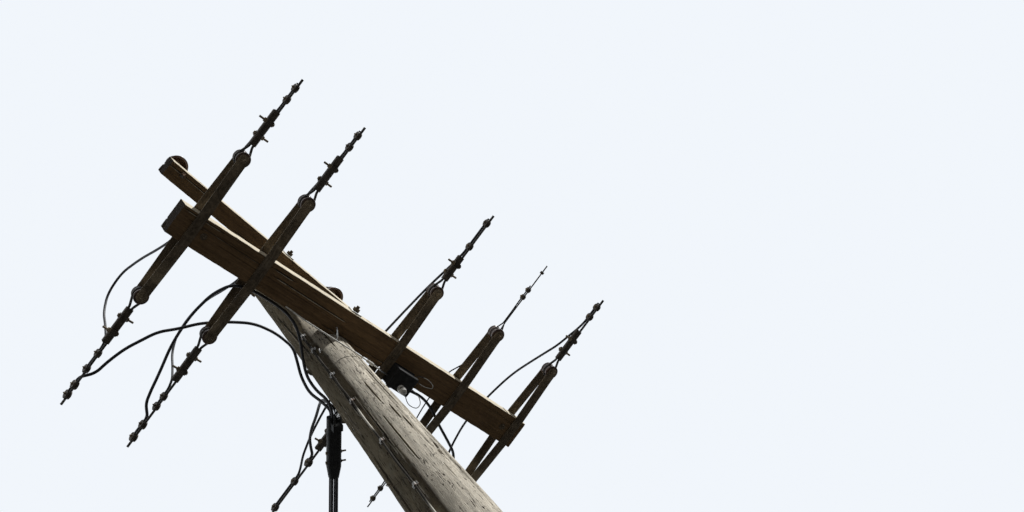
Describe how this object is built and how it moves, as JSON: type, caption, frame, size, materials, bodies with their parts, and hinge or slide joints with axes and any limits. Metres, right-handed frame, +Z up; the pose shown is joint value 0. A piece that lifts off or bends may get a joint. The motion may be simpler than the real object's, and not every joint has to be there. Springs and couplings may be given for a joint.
{
  "type": "wooden utility pole",
  "caption": "Round tapered timber utility pole with an upper and a lower crossarm, pin and spool insulators, strap dead-ends, jumpers and a bundled cable clamp.",
  "frame": {"origin": "middle of the pole at ground level, on its flat foot", "axes": "+Z up the pole, +X along the lower crossarm, the line runs along Y, the crossarms are on the -Y side"},
  "size_m": [2.7529, 2.2, 9.75],
  "materials": {
    "black_insulation": "black cable insulation",
    "black_moulding": "black moulded plastic",
    "brown_porcelain": "brown glazed porcelain",
    "clamp_alloy": "dull dark weathered alloy",
    "conductor_aluminium": "weathered stranded conductor, nearly black",
    "crossarm_wood": "dark oiled hardwood, rough sawn",
    "galvanised_steel": "dull galvanised",
    "grey_sheath": "weathered grey sheath",
    "pole_wood": "weathered bare hardwood, cream and grey with long dark checks",
    "rusty_bolt_steel": "bolts gone brown with rust",
    "strap_steel": "dark weathered steel with light rust",
    "white_porcelain": "white glazed porcelain"
  },
  "bodies": {
    "root": {"arm_end_bolts": "rusty_bolt_steel", "cable_core_a": "black_insulation", "cable_core_b": "black_insulation", "cable_core_c": "black_insulation", "cable_core_e": "black_insulation", "clamp_bolts": "rusty_bolt_steel", "conductors_far": "conductor_aluminium", "conductors_near": "conductor_aluminium", "deadend_clamps_a": "clamp_alloy", "deadend_clamps_b": "clamp_alloy", "deadend_clamps_c": "clamp_alloy", "deadend_clamps_e": "clamp_alloy", "insulator_pins": "galvanised_steel", "jumper_a": "black_insulation", "jumper_b": "black_insulation", "jumper_c": "black_insulation", "jumper_d": "black_insulation", "jumper_e": "black_insulation", "king_bolts": "galvanised_steel", "king_washers": "galvanised_steel", "lower_crossarm": "crossarm_wood", "pin_insulators": "brown_porcelain", "pole": "pole_wood", "pole_cable": "grey_sheath", "pole_clips": "galvanised_steel", "screw_hook": "galvanised_steel", "service_box": "black_moulding", "service_fuse": "white_porcelain", "service_leads": "black_moulding", "spools_a": "brown_porcelain", "spools_b": "brown_porcelain", "spools_c": "brown_porcelain", "spools_d": "brown_porcelain", "spools_e": "brown_porcelain", "strain_clamp": "black_moulding", "strap_bolts": "rusty_bolt_steel", "straps_a": "strap_steel", "straps_b": "strap_steel", "straps_c": "strap_steel", "straps_d": "strap_steel", "straps_e": "strap_steel", "tap_bolts": "rusty_bolt_steel", "tap_clamps_far": "clamp_alloy", "tap_clamps_near": "clamp_alloy", "upper_crossarm": "crossarm_wood"}
  },
  "joints": []
}
